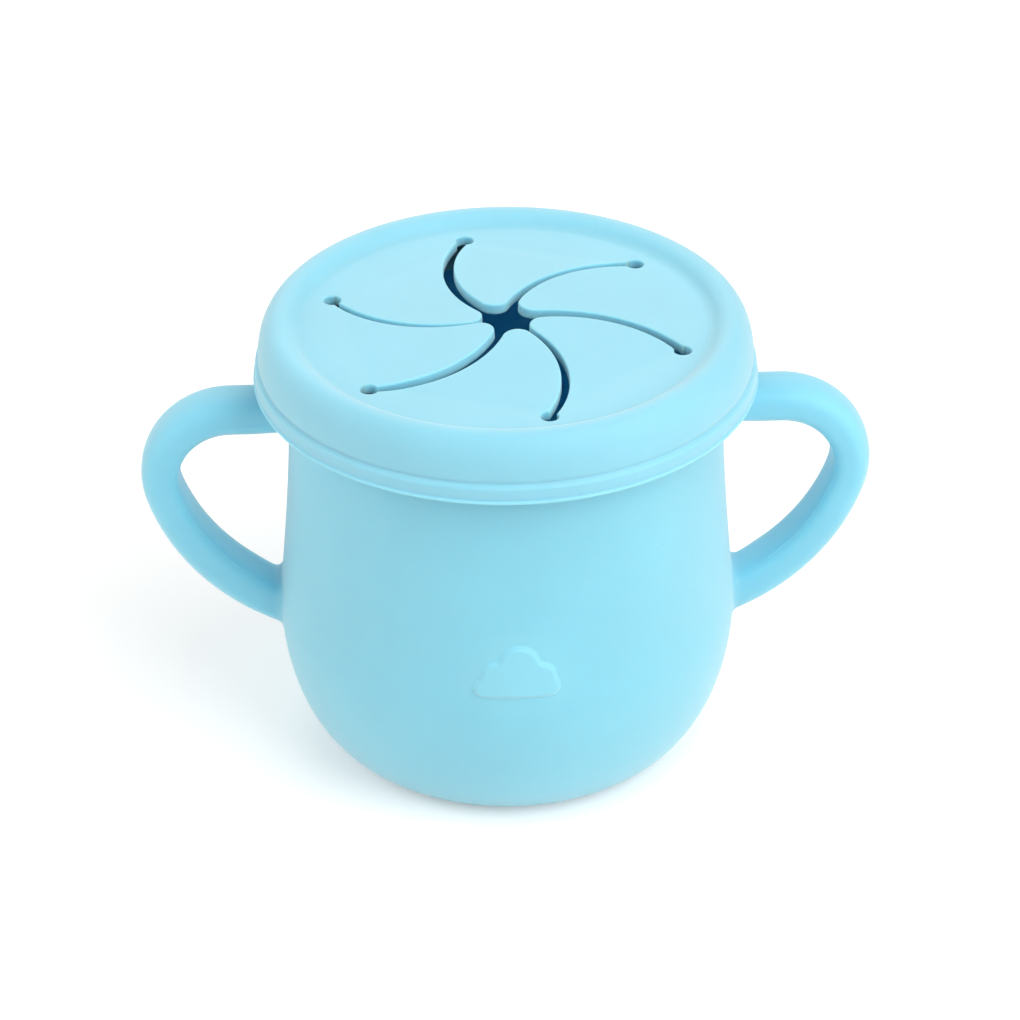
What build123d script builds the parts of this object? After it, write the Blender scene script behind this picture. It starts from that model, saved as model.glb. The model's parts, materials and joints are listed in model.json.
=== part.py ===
"""Toddler snack cup in soft silicone: a round-bellied cup with two loop handles,
and a stretch-on lid whose thin top is slit into six finger flaps.

Millimetres, +Z up. The origin is the middle of the foot, on the table. The
handles lie along X and the raised ornament faces -Y.
"""
import os
from math import asin, cos, degrees, radians, sin

from build123d import *

# ---------------------------------------------------------------- cup body
CUP_HEIGHT = 82.0            # foot to the top of the rim
FOOT_RADIUS = 28.0           # flat foot that the cup stands on
BELLY_RADIUS = 41.8          # widest place
BELLY_HEIGHT = 27.4          # height of the widest place
SHOULDER_RADIUS = 40.3       # a point on the wall between belly and neck
SHOULDER_HEIGHT = 44.0
NECK_RADIUS = 38.9           # straight wall under the rim
NECK_HEIGHT = 68.0           # height where the wall turns straight
CUP_WALL = 2.6
CUP_FLOOR = 3.0

# ---------------------------------------------------------------- cup rim
RIM_BEAD = 3.1               # how far the rim bead stands out of the neck
RIM_BEAD_HEIGHT = 5.0
RIM_FLARE = 2.2              # height of the slope under the bead
RIM_ROUNDING = 0.8

# ---------------------------------------------------------------- handles
HANDLE_LID_GAP = 2.8         # free height between the upper run and the lid's edge
HANDLE_UPPER_RUN = 10.6      # straight length of the upper run, outside the neck
HANDLE_BEND_RADIUS = 13.0    # middle line of the outer bend
HANDLE_BEND_TURN = 114.0     # degrees that the outer bend turns
HANDLE_THICKNESS = 7.0       # seen from the front
HANDLE_WIDTH = 10.0          # front to back
HANDLE_ROUNDING = 3.1        # edge rounding of the bar
HANDLE_ROOT_REACH = 1.2      # middle of the lower root, outside the belly's widest place
HANDLE_ROOT_HEIGHT = 28.0
HANDLE_ROOT_THICKNESS = 9.0  # the lower run thickens towards the wall
HANDLE_ROOT_SLOPE = 58.0     # degrees from level, square to the lower run at its root

# ---------------------------------------------------------------- ornament
CLOUD_WIDTH = 15.8
CLOUD_HEIGHT = 10.6
CLOUD_BASE = 4.4             # height of the flat, round-ended base
CLOUD_LEFT_PUFF = 3.1        # radii of the three puffs
CLOUD_TOP_PUFF = 3.9
CLOUD_RIGHT_PUFF = 2.8
CLOUD_PUFF_STEP = 3.9        # from one puff to the next
CLOUD_LEAN = 0.5             # the top puff stands this far right of the middle
CLOUD_MIDDLE_HEIGHT = 37.0   # on the front wall
CLOUD_RELIEF = 0.5

# ---------------------------------------------------------------- lid
SKIRT_WALL = 2.75            # edge band, outside the rim bead and its clearance
BAND_HEIGHT = 2.1
BAND_STEP = 1.2              # how far the band stands out of the dome's foot
DOME_FOOT_RISE = 0.6         # slope from the band to the dome's foot
DOME_SIDE = 1.7              # height of the dome's lowest, nearly upright part
DOME_BULGE = 0.25            # how far that part leans out
DOME_RISE = 7.2              # from the dome's widest place to its crest
CREST_INSET = 4.05           # from the dome's widest place in to the highest line
DISC_INSET = 3.6             # from the highest line in to the edge of the flat top
DISC_DROP = 2.1              # flat top below the crest
MEMBRANE = 2.0               # thickness of the flat top
SKIRT_DEPTH = 8.0            # how far the lid reaches down over the rim
SEAL_DEPTH = 5.6             # inner ring that plugs the mouth
SEAL_WALL = 1.7
LID_FIT = 0.25               # clearance of the rim in the lid's channel, each side
LID_ROUNDING = 0.4

# ---------------------------------------------------------------- finger flaps
FLAP_COUNT = 6
HOLE_INSET = 4.0             # from the edge of the flat top in to the tear-stop holes
HOLE_DIAMETER = 3.2
FIRST_HOLE_ANGLE = -19.0     # degrees from +X
SLIT_RADIUS = 24.5           # each slit is one arc from the middle to its hole
SLIT_WIDTH = 1.6
TIP_ROUNDING = 2.7           # leaves the star-shaped opening in the middle
HINGE_GAP = 0.12             # around the rounded root that stands for the bending silicone
FLAP_LIFT = 3.5              # degrees that a resting flap stands up from the flat top
FLAP_DOWN = 65.0             # degrees from rest, pushed in by a hand
FLAP_UP = 44.0               # degrees from rest, pulled up as the hand comes out

# ---------------------------------------------------------------- worked out
BEAD_RADIUS = NECK_RADIUS + RIM_BEAD
MOUTH_RADIUS = NECK_RADIUS - CUP_WALL
SKIRT_BOTTOM = CUP_HEIGHT - SKIRT_DEPTH
HANDLE_TOP_HEIGHT = SKIRT_BOTTOM - HANDLE_LID_GAP - HANDLE_THICKNESS / 2
HANDLE_BEND_X = NECK_RADIUS + HANDLE_UPPER_RUN
HANDLE_ROOT_X = BELLY_RADIUS + HANDLE_ROOT_REACH
LID_RADIUS = BEAD_RADIUS + LID_FIT + SKIRT_WALL
DOME_FOOT_RADIUS = LID_RADIUS - BAND_STEP
DOME_FOOT_HEIGHT = SKIRT_BOTTOM + BAND_HEIGHT + DOME_FOOT_RISE
DOME_RADIUS = DOME_FOOT_RADIUS + DOME_BULGE
DOME_BASE = DOME_FOOT_HEIGHT + DOME_SIDE
CREST_RADIUS = DOME_RADIUS - CREST_INSET
CREST_HEIGHT = DOME_BASE + DOME_RISE
DISC_RADIUS = CREST_RADIUS - DISC_INSET
DISC_HEIGHT = CREST_HEIGHT - DISC_DROP
HINGE_HEIGHT = DISC_HEIGHT - MEMBRANE / 2
HOLE_CIRCLE = DISC_RADIUS - HOLE_INSET
SECTOR = 360 / FLAP_COUNT
HINGE_REACH = HOLE_CIRCLE * cos(radians(SECTOR / 2))
HINGE_HALF_LENGTH = HOLE_CIRCLE * sin(radians(SECTOR / 2)) - HOLE_DIAMETER / 2


def polar(radius, angle):
    """Plan point at a radius and an angle in degrees."""
    return (radius * cos(radians(angle)), radius * sin(radians(angle)))


def turned(edges):
    """Solid of revolution about Z; its seam lies at the back, clear of the handles."""
    return revolve(Plane.YZ * make_face(edges), Axis.Z)


# ================================================================= cup
def wall_edges(inset, floor):
    """Foot, belly and wall up to the neck, moved in by the wall and up by the floor."""
    neck = NECK_RADIUS - inset
    corner_width = BELLY_RADIUS - inset - FOOT_RADIUS
    belly = EllipticalCenterArc((FOOT_RADIUS, BELLY_HEIGHT), corner_width, BELLY_HEIGHT - floor,
                                start_angle=-90, arc_size=90)
    wall = Spline((BELLY_RADIUS - inset, BELLY_HEIGHT),
                  (SHOULDER_RADIUS - inset, SHOULDER_HEIGHT),
                  (neck, NECK_HEIGHT),
                  tangents=((0, 1), (0, 1)))
    return [Line((0, floor), (FOOT_RADIUS, floor)), belly, wall]


def plain_outside():
    """The cup's outer form up to the neck, with neither bead nor hollow."""
    top = [Line((NECK_RADIUS, NECK_HEIGHT), (NECK_RADIUS, CUP_HEIGHT)),
           Line((NECK_RADIUS, CUP_HEIGHT), (0, CUP_HEIGHT)),
           Line((0, CUP_HEIGHT), (0, 0))]
    return turned(wall_edges(0, 0) + top)


def cup_hollow():
    top = [Line((MOUTH_RADIUS, NECK_HEIGHT), (MOUTH_RADIUS, CUP_HEIGHT)),
           Line((MOUTH_RADIUS, CUP_HEIGHT), (0, CUP_HEIGHT)),
           Line((0, CUP_HEIGHT), (0, CUP_FLOOR))]
    return turned(wall_edges(CUP_WALL, CUP_FLOOR) + top)


def rim_bead():
    """Thickened rim that the lid's channel closes over."""
    bottom = CUP_HEIGHT - RIM_BEAD_HEIGHT
    edges = Polyline((MOUTH_RADIUS, bottom - RIM_FLARE), (NECK_RADIUS, bottom - RIM_FLARE),
                     (BEAD_RADIUS, bottom), (BEAD_RADIUS, CUP_HEIGHT),
                     (MOUTH_RADIUS, CUP_HEIGHT), close=True)
    bead = turned(edges)
    top_edges = bead.edges().filter_by(GeomType.CIRCLE).group_by(Axis.Z)[-1]
    return fillet(top_edges, RIM_ROUNDING)


def cloud_outline():
    """A small cloud: three round puffs on a flat, round-ended base."""
    bottom = -CLOUD_HEIGHT / 2
    base_top = bottom + CLOUD_BASE
    top_middle = CLOUD_HEIGHT / 2 - CLOUD_TOP_PUFF
    shape = Pos(0, bottom + CLOUD_BASE / 2) * SlotOverall(CLOUD_WIDTH, CLOUD_BASE)
    shape += Pos(CLOUD_LEAN - CLOUD_PUFF_STEP, base_top) * Circle(CLOUD_LEFT_PUFF)
    shape += Pos(CLOUD_LEAN, top_middle) * Circle(CLOUD_TOP_PUFF)
    shape += Pos(CLOUD_LEAN + CLOUD_PUFF_STEP, base_top) * Circle(CLOUD_RIGHT_PUFF)
    return shape


def cloud_relief():
    """The cloud, raised on the front wall and following its curve."""
    front = Plane(origin=(0, 0, CLOUD_MIDDLE_HEIGHT), x_dir=(1, 0, 0), z_dir=(0, -1, 0))
    stamp = extrude(front * cloud_outline(), BELLY_RADIUS + CLOUD_RELIEF)
    raised = turned(wall_edges(-CLOUD_RELIEF, 0)
                    + [Line((NECK_RADIUS + CLOUD_RELIEF, NECK_HEIGHT), (0, NECK_HEIGHT)),
                       Line((0, NECK_HEIGHT), (0, 0))])
    return stamp & raised


def make_cup():
    shell = plain_outside() - cup_hollow() + rim_bead()
    return shell + (cloud_relief() - cup_hollow())


# ================================================================= handles
def handle_outline():
    """Front view of the right handle, as a closed face that runs into the wall."""
    half = HANDLE_THICKNESS / 2
    centre = (HANDLE_BEND_X, HANDLE_TOP_HEIGHT - HANDLE_BEND_RADIUS)
    end_angle = 90 - HANDLE_BEND_TURN
    down_run = (sin(radians(end_angle)), -cos(radians(end_angle)))
    root_normal = polar(HANDLE_ROOT_THICKNESS / 2, -HANDLE_ROOT_SLOPE)
    inside = FOOT_RADIUS
    edges = []
    ends = []
    for side in (1, -1):
        radius = HANDLE_BEND_RADIUS + side * half
        level = HANDLE_TOP_HEIGHT + side * half
        bend = CenterArc(centre, radius, 90, -HANDLE_BEND_TURN)
        root = (HANDLE_ROOT_X + side * root_normal[0], HANDLE_ROOT_HEIGHT + side * root_normal[1])
        run = TangentArc(bend @ 1, root, tangent=down_run)
        into_wall = run % 1
        sunk = (inside, root[1] + into_wall.Y / into_wall.X * (inside - root[0]))
        edges += [Line((inside, level), bend @ 0), bend, run, Line(root, sunk)]
        ends.append(((inside, level), sunk))
    (top_outer, low_outer), (top_inner, low_inner) = ends
    edges += [Line(top_outer, top_inner), Line(low_outer, low_inner)]
    return make_face(edges)


def handle_bar():
    """Both faces and all long edges of the bar, rounded."""
    outline = Plane.XZ * handle_outline()
    bar = extrude(outline, HANDLE_WIDTH / 2, both=True)
    ends = bar.faces().filter_by(Axis.X)
    end_edges = [edge for face in ends for edge in face.edges()]
    caps = bar.faces().filter_by(Axis.Y)
    long_edges = [edge for face in caps for edge in face.edges()
                  if not any(edge.is_same(other) for other in end_edges)]
    return fillet(long_edges, HANDLE_ROUNDING)


def make_handle():
    """Right handle, cut by the wall that it is moulded to."""
    return handle_bar() - plain_outside()


# ================================================================= lid
def lid_outer_edges():
    """Band, dome, crest and the rounded fall to the flat top, drawn upwards."""
    band_top = SKIRT_BOTTOM + BAND_HEIGHT
    dome = EllipticalCenterArc((CREST_RADIUS, DOME_BASE), DOME_RADIUS - CREST_RADIUS, DOME_RISE,
                               start_angle=0, arc_size=90)
    fall = TangentArc((CREST_RADIUS, CREST_HEIGHT), (DISC_RADIUS, DISC_HEIGHT), tangent=(-1, 0))
    return [Line((LID_RADIUS, SKIRT_BOTTOM), (LID_RADIUS, band_top)),
            Line((LID_RADIUS, band_top), (DOME_FOOT_RADIUS, DOME_FOOT_HEIGHT)),
            Line((DOME_FOOT_RADIUS, DOME_FOOT_HEIGHT), (DOME_RADIUS, DOME_BASE)),
            dome, fall,
            Line((DISC_RADIUS, DISC_HEIGHT), (0, DISC_HEIGHT))]


def lid_inner_edges():
    """Underside: flat top, seal ring and the channel that takes the rim, drawn outwards."""
    under = DISC_HEIGHT - MEMBRANE
    seal_outer = MOUTH_RADIUS - LID_FIT
    seal_inner = seal_outer - SEAL_WALL
    skirt_inner = BEAD_RADIUS + LID_FIT
    seal_bottom = CUP_HEIGHT - SEAL_DEPTH
    points = [(0, DISC_HEIGHT), (0, under), (seal_inner, under), (seal_inner, seal_bottom),
              (seal_outer, seal_bottom), (seal_outer, CUP_HEIGHT), (skirt_inner, CUP_HEIGHT),
              (skirt_inner, SKIRT_BOTTOM), (LID_RADIUS, SKIRT_BOTTOM)]
    return [Line(a, b) for a, b in zip(points, points[1:])]


def lid_shell():
    shell = turned(lid_outer_edges() + lid_inner_edges())
    band_edges = [edge for edge in shell.edges().filter_by(GeomType.CIRCLE)
                  if abs(edge.radius - LID_RADIUS) < 0.01]
    return fillet(band_edges, LID_ROUNDING)


def hole_angle(index):
    return FIRST_HOLE_ANGLE + SECTOR * index


def slit(index):
    """One curved slit, from the middle of the lid to its hole, as a plan face."""
    half_turn = degrees(asin(HOLE_CIRCLE / (2 * SLIT_RADIUS)))
    toward_centre = hole_angle(index) - (90 - half_turn)
    arc = CenterArc(polar(SLIT_RADIUS, toward_centre), SLIT_RADIUS, toward_centre + 180,
                    -2 * half_turn)
    return SlotArc(arc, SLIT_WIDTH)


def cut_plan():
    """All slits and holes, in plan."""
    cuts = Sketch()
    for index in range(FLAP_COUNT):
        cuts += slit(index)
        cuts += Pos(*polar(HOLE_CIRCLE, hole_angle(index))) * Circle(HOLE_DIAMETER / 2)
    return cuts


def hinge_hexagon():
    """Plan polygon through the hole centres; its sides are the hinge lines."""
    return Rot(0, 0, FIRST_HOLE_ANGLE) * RegularPolygon(HOLE_CIRCLE, FLAP_COUNT)


def flap_plans():
    """Plan faces of the flaps, each between two slits and its own hinge line."""
    faces = (hinge_hexagon() - cut_plan()).faces()
    plans = []
    for index in range(FLAP_COUNT):
        hinge = Vector(*polar(HINGE_REACH, hole_angle(index) + SECTOR / 2))
        face = min(faces, key=lambda plan: plan.distance_to(hinge))
        tip = min(face.vertices(), key=lambda corner: corner.center().length)
        plans.append(face.fillet_2d(TIP_ROUNDING, [tip]))
    return plans


def hinge_frame(index):
    """Hinge line of one flap: X points outwards, Y along the hinge, on the mid-plane."""
    middle = hole_angle(index) + SECTOR / 2
    x, y = polar(HINGE_REACH, middle)
    return Location((x, y, HINGE_HEIGHT), (0, 0, middle))


def hinge_roll(radius, half_length):
    """Round bar along a hinge line, in the hinge's own frame."""
    return Rot(90, 0, 0) * Cylinder(radius, 2 * half_length)


def hinge_relief():
    """Room for one flap's root over its whole travel, in the hinge's own frame."""
    radius = MEMBRANE / 2 + HINGE_GAP
    reach = 2 * MEMBRANE
    room = hinge_roll(radius, HINGE_HALF_LENGTH + HOLE_DIAMETER / 2)
    leaf = Pos(-reach / 2, 0, 0) * Box(reach, 2 * HINGE_HALF_LENGTH + HOLE_DIAMETER, 2 * radius)
    for angle in (-FLAP_DOWN, 0, FLAP_UP):
        room += Rot(0, FLAP_LIFT + angle, 0) * leaf
    return room


def make_flap(index, plan):
    """Flat flap with its rounded root, standing up a little at rest."""
    hinge = hinge_frame(index)
    leaf = extrude(Pos(0, 0, DISC_HEIGHT - MEMBRANE) * plan, MEMBRANE)
    lifted = hinge * Rot(0, FLAP_LIFT, 0) * hinge.inverse() * leaf
    root = hinge * hinge_roll(MEMBRANE / 2, HINGE_HALF_LENGTH - HINGE_GAP)
    return lifted + root


def make_lid():
    lid = lid_shell()
    window = hinge_hexagon() + cut_plan()
    lid -= Pos(0, 0, HINGE_HEIGHT) * extrude(window, MEMBRANE, both=True)
    for index in range(FLAP_COUNT):
        lid -= hinge_frame(index) * hinge_relief()
    return lid


# ================================================================= nodes
def write(name, shape):
    shape.label = name
    export_step(shape, os.path.join("parts", name + ".step"))


def main():
    os.makedirs("parts", exist_ok=True)
    handle = make_handle()
    write("cup", make_cup())
    write("handle_right", handle)
    write("handle_left", mirror(handle, Plane.YZ))
    write("lid", make_lid())
    for index, plan in enumerate(flap_plans()):
        write(f"flap_{index + 1}", make_flap(index, plan))


main()
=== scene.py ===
"""A toddler's silicone snack cup: the moulded cup with its two loop handles, the
stretch-on lid and the six finger flaps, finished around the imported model.

Metres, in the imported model's own frame: the foot stands on Z 0, the handles lie
along X and the raised ornament faces -Y.
"""
import json
from math import asin, atan2, ceil, copysign, cos, hypot, pi, radians, sin, sqrt, tan

import bmesh
import bpy
from bpy.props import FloatProperty, FloatVectorProperty, PointerProperty
from bpy.types import Operator, Panel, PropertyGroup
from mathutils import Matrix, Vector


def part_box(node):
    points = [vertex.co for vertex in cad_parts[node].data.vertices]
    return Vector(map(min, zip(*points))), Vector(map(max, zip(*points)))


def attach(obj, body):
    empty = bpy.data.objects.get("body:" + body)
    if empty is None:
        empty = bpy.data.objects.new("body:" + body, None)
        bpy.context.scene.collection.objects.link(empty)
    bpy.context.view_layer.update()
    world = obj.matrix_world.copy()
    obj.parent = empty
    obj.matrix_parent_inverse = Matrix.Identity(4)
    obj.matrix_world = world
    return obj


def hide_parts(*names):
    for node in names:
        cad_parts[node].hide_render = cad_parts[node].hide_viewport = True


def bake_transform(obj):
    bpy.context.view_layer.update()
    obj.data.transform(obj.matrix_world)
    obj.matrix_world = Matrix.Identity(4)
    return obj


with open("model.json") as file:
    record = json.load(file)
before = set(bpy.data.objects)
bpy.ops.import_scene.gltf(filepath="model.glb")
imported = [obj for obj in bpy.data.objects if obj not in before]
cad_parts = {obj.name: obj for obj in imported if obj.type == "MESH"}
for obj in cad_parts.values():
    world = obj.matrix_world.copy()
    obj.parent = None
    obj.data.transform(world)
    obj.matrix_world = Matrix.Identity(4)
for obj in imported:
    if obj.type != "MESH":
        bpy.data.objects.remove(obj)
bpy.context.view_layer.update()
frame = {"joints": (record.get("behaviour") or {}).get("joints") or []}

bl_info = {
    "name": "Snack Cup",
    "version": (1, 0, 0),
    "blender": (4, 5, 0),
    "location": "3D View > Sidebar > Snack Cup",
    "description": "Builds a soft silicone snack cup with a slit lid",
    "category": "Add Mesh",
}

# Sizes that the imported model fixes
CUP_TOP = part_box("cup")[1].z
RIM_BEAD_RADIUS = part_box("cup")[1].x
LID_LOW, LID_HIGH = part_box("lid")
HANDLE_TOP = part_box("handle_right")[1].z
FLAP_HINGES = [joint for joint in frame["joints"] if joint["type"] == "hinge"]
HINGE_REACH = hypot(*FLAP_HINGES[0]["pos_m"][:2])
HINGE_HEIGHT = FLAP_HINGES[0]["pos_m"][2]
SECTOR = 2 * pi / len(FLAP_HINGES)
FIRST_FLAP = atan2(FLAP_HINGES[0]["pos_m"][1], FLAP_HINGES[0]["pos_m"][0])
FLAP_ANGLES = [FIRST_FLAP + SECTOR * index for index in range(len(FLAP_HINGES))]
HOLE_CIRCLE = HINGE_REACH / cos(SECTOR / 2)


def size(name, default, description):
    """Length in metres that a user may change."""
    return FloatProperty(name=name, description=description, default=default, unit="LENGTH",
                         precision=5)


def angle(name, in_degrees, description):
    """Angle that a user may change; its default is given in degrees."""
    return FloatProperty(name=name, description=description, default=radians(in_degrees),
                         subtype="ANGLE")


def colour(name, default, description):
    """Colour that a user may change, in linear light."""
    return FloatVectorProperty(name=name, description=description, default=default,
                               subtype="COLOR", min=0, max=1)


# ================================================================= sizes
class CupSizes(PropertyGroup):
    foot_radius: size("Foot radius", 0.028, "Flat foot that the cup stands on")
    belly_radius: size("Belly radius", 0.0418, "Widest place of the cup")
    belly_height: size("Belly height", 0.0274, "Height of the widest place")
    neck_radius: size("Neck radius", 0.0389, "Straight wall under the rim")
    neck_height: size("Neck height", 0.068, "Height where the wall turns straight")
    wall: size("Wall", 0.0026, "Thickness of the wall")
    floor: size("Floor", 0.003, "Thickness of the floor")
    bead_height: size("Bead height", 0.005, "Height of the rim's bead")
    bead_flare: size("Bead flare", 0.0022, "Height of the slope under the bead")
    rim_rounding: size("Rim rounding", 0.0008, "Rounding of the rim's edges")


class HandleSizes(PropertyGroup):
    upper_run: size("Upper run", 0.0106, "Straight length of the upper run")
    bend_radius: size("Bend radius", 0.013, "Middle line of the outer bend")
    bend_turn: angle("Bend turn", 107, "How far the outer bend turns")
    thickness: size("Thickness", 0.007, "Thickness seen from the front")
    root_thickness: size("Root thickness", 0.0079, "Thickness where the lower run meets the wall")
    width: size("Width", 0.0099, "Front to back")
    root_reach: size("Root reach", 0.0012, "Lower root's middle, outside the widest place")
    root_height: size("Root height", 0.028, "Height of the lower root's middle")
    outer_fullness: FloatProperty(
        name="Outer fullness", default=2.5, description="2 is an ellipse, more is squarer")
    inner_fullness: FloatProperty(
        name="Inner fullness", default=3.4, description="2 is an ellipse, more is flatter")
    root_fillet: size("Root fillet", 0.0013, "Rounding in the corners of the finger gap")
    side_fillet: size("Side fillet", 0.0024, "Rounding on the front and back of a root")
    seam_rise: size("Seam rise", 0.0002, "Mould line on the handle's inner face")
    seam_side: angle("Seam side", 52, "Turn from the front to the mould line")


class OrnamentSizes(PropertyGroup):
    width: size("Width", 0.0158, "Width of the cloud")
    height: size("Height", 0.0106, "Height of the cloud")
    base: size("Base", 0.0044, "Height of the cloud's flat, round-ended base")
    left_puff: size("Left puff", 0.0031, "Radius of the left puff")
    top_puff: size("Top puff", 0.0039, "Radius of the top puff")
    right_puff: size("Right puff", 0.0028, "Radius of the right puff")
    puff_step: size("Puff step", 0.0039, "From one puff to the next")
    lean: size("Lean", 0.0005, "The top puff stands this far right of the middle")
    middle_height: size("Middle height", 0.037, "Height of the cloud's middle on the wall")
    relief: size("Relief", 0.0008, "How far the cloud stands out")
    edge: size("Edge", 0.001, "Width of the cloud's soft edge")
    root: size("Root", 0.002, "How deep the cloud's piece goes into the wall")


class LidSizes(PropertyGroup):
    band_inset: size("Band inset", 0.0003, "The band lies this far inside its bottom lip")
    band_top: size("Band top", 0.003, "Height of the band's upper edge above the lip's foot")
    shoulder: size("Shoulder", 0.001, "Rounding of the band's upper edge")
    groove_inset: size("Groove inset", 0.0012, "Dome's foot, inside the lip")
    groove_height: size("Groove height", 0.0036, "Dome's foot, above the lip's foot")
    dome_inset: size("Dome inset", 0.00093, "Dome's widest place, inside the lip")
    dome_height: size("Dome height", 0.0044, "Dome's widest place, above the lip's foot")
    dome_fullness: FloatProperty(
        name="Dome fullness", default=2.19, description="2 is an ellipse, more is squarer")
    crest_inset: size("Crest inset", 0.005, "Highest circle, inside the lip")
    disc_inset: size("Disc inset", 0.0094, "Edge of the flat top, inside the lip")
    dip_rounding: size("Dip rounding", 0.0026, "Hollow rounding between flat top and dome")
    disc_drop: size("Disc drop", 0.0021, "Flat top below the crest")
    membrane: size("Membrane", 0.002, "Thickness of the flat top")
    seal_depth: size("Seal depth", 0.0056, "Inner ring that plugs the cup's mouth")
    seal_wall: size("Seal wall", 0.0017, "Thickness of the inner ring")
    fit: size("Fit", 0.00025, "Clearance of the rim in the channel")
    edge: size("Edge", 0.00035, "Rounding of the lid's edges")


class FlapSizes(PropertyGroup):
    hole_radius: size("Hole radius", 0.0016, "Tear-stop hole at the end of each slit")
    slit_radius: size("Slit radius", 0.0245, "Each slit is one arc from the middle to its hole")
    tip_rounding: size("Tip rounding", 0.0027, "Rounded tip of a flap")
    edge: size("Edge", 0.0003, "Rounding along slits and holes")
    seam_offset: size("Seam offset", 0.0008, "Flap's root, outside the bending line")
    bend: size("Bend", 0.0032, "How far inside the bending line the flap has turned")


class Finish(PropertyGroup):
    cup_colour: colour("Cup colour", (0.203, 0.616, 0.763), "Silicone of the cup")
    # Painted light: the same silicone as the cup, given a paler tint for the brighter light on the
    # lid's upward faces
    lid_colour_painted_paler: colour("Lid colour", (0.235, 0.62, 0.752), "Silicone of the lid")
    cup_depth: size("Cup depth", 0.004, "How deep light goes into the cup's silicone")
    lid_depth: size("Lid depth", 0.0014, "How deep light goes into the lid's silicone")
    floor_colour: colour("Floor colour", (0.88, 0.86, 0.845), "Studio floor")


# Slit widths and resting lifts as the real lid has them, slit by slit and flap by flap
SLIT_WIDTHS = (0.0019, 0.0017, 0.0019, 0.0009, 0.0015, 0.0014)
FLAP_LIFTS = tuple(radians(lift) for lift in (3.8, 3.8, 3.1, 4.4, 3.5, 2.7))

ROUND_STEPS = 192            # facets round the cup and the lid
WALL_STEP = 0.0013           # height of a row of facets on the wall
SAME_PLACE = 1e-6            # points that lie closer than this are one
CUT_TOLERANCE = 1e-7         # points this near a cutting plane lie on it
SURFACE_LIGHT = "surface_light"     # share of the light that stays on the surface, by point


# ================================================================= mesh helpers
def rounded(corners, steps=5):
    """Outline through corners (radius, height, rounding), each turned into an arc."""
    points = []
    for index, (x, z, rounding) in enumerate(corners):
        corner = Vector((x, z))
        if not rounding:
            points.append(corner)
            continue
        before = (Vector(corners[index - 1][:2]) - corner).normalized()
        after = (Vector(corners[index + 1][:2]) - corner).normalized()
        half = before.angle(after) / 2
        centre = corner + (before + after).normalized() * rounding / sin(half)
        start = corner + before * rounding / tan(half) - centre
        turn = copysign(pi - 2 * half, after.cross(before))
        for step in range(steps + 1):
            points.append(centre + Matrix.Rotation(turn * step / steps, 2) @ start)
    return points


def spin_outline(mesh, outline, start_angle=0.0):
    """Turns an outline of (radius, height) points once about Z."""
    x, y = cos(start_angle), sin(start_angle)
    verts = [mesh.verts.new((x * r, y * r, z)) for r, z in outline]
    edges = [mesh.edges.new(pair) for pair in zip(verts, verts[1:])]
    bmesh.ops.spin(mesh, geom=verts + edges, cent=(0, 0, 0), axis=(0, 0, 1),
                   angle=2 * pi, steps=ROUND_STEPS, use_merge=True)
    bmesh.ops.remove_doubles(mesh, verts=mesh.verts, dist=SAME_PLACE)


def cut(mesh, point, normal):
    """Cuts every face along a plane, so that the mesh can bend there."""
    bmesh.ops.bisect_plane(mesh, geom=mesh.verts[:] + mesh.edges[:] + mesh.faces[:],
                           dist=CUT_TOLERANCE, plane_co=point, plane_no=normal)


def finish_piece(name, mesh, material):
    """Makes the piece's object from a bmesh, smooth, with its normals outwards."""
    bmesh.ops.recalc_face_normals(mesh, faces=mesh.faces)
    data = bpy.data.meshes.new(name)
    mesh.to_mesh(data)
    mesh.free()
    data.shade_smooth()
    data.materials.append(material)
    piece = bpy.data.objects.new(name, data)
    bpy.context.scene.collection.objects.link(piece)
    even = piece.modifiers.new("Even shading", "WEIGHTED_NORMAL")
    even.keep_sharp = True
    return piece


# ================================================================= cup
BELLY_ONSET = 0.03           # softens where the belly turns into the wall
WALL_TAPER = 1.5             # how fast the wall draws in above the belly


def wall_radius(cup, height, inset=0.0, floor=0.0):
    """Radius of the wall at a height, moved in by the wall and up by the floor."""
    if height < cup.belly_height:
        share = (cup.belly_height - height) / (cup.belly_height - floor)
        corner = cup.belly_radius - inset - cup.foot_radius
        return cup.foot_radius + corner * sqrt(max(0.0, 1 - share * share))
    share = min(1.0, (height - cup.belly_height) / (cup.neck_height - cup.belly_height))
    share = hypot(share, BELLY_ONSET) - BELLY_ONSET
    fall = (cup.belly_radius - cup.neck_radius) * (1 - share) ** WALL_TAPER
    return cup.neck_radius + fall - inset


def wall_outline(cup, top, inset=0.0, floor=0.0):
    """Outline from the foot's edge up to a height on the neck."""
    corner_steps = ceil(pi / 2 * cup.belly_height / WALL_STEP)
    corner = cup.belly_radius - inset - cup.foot_radius
    points = [Vector((0, floor)), Vector((cup.foot_radius / 2, floor))]
    for step in range(corner_steps):
        turn = pi / 2 * step / corner_steps
        rise = (cup.belly_height - floor) * (1 - cos(turn))
        points.append(Vector((cup.foot_radius + corner * sin(turn), floor + rise)))
    rows = ceil((top - cup.belly_height) / WALL_STEP)
    for row in range(rows + 1):
        height = cup.belly_height + (top - cup.belly_height) * row / rows
        points.append(Vector((wall_radius(cup, height, inset, floor), height)))
    return points


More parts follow.
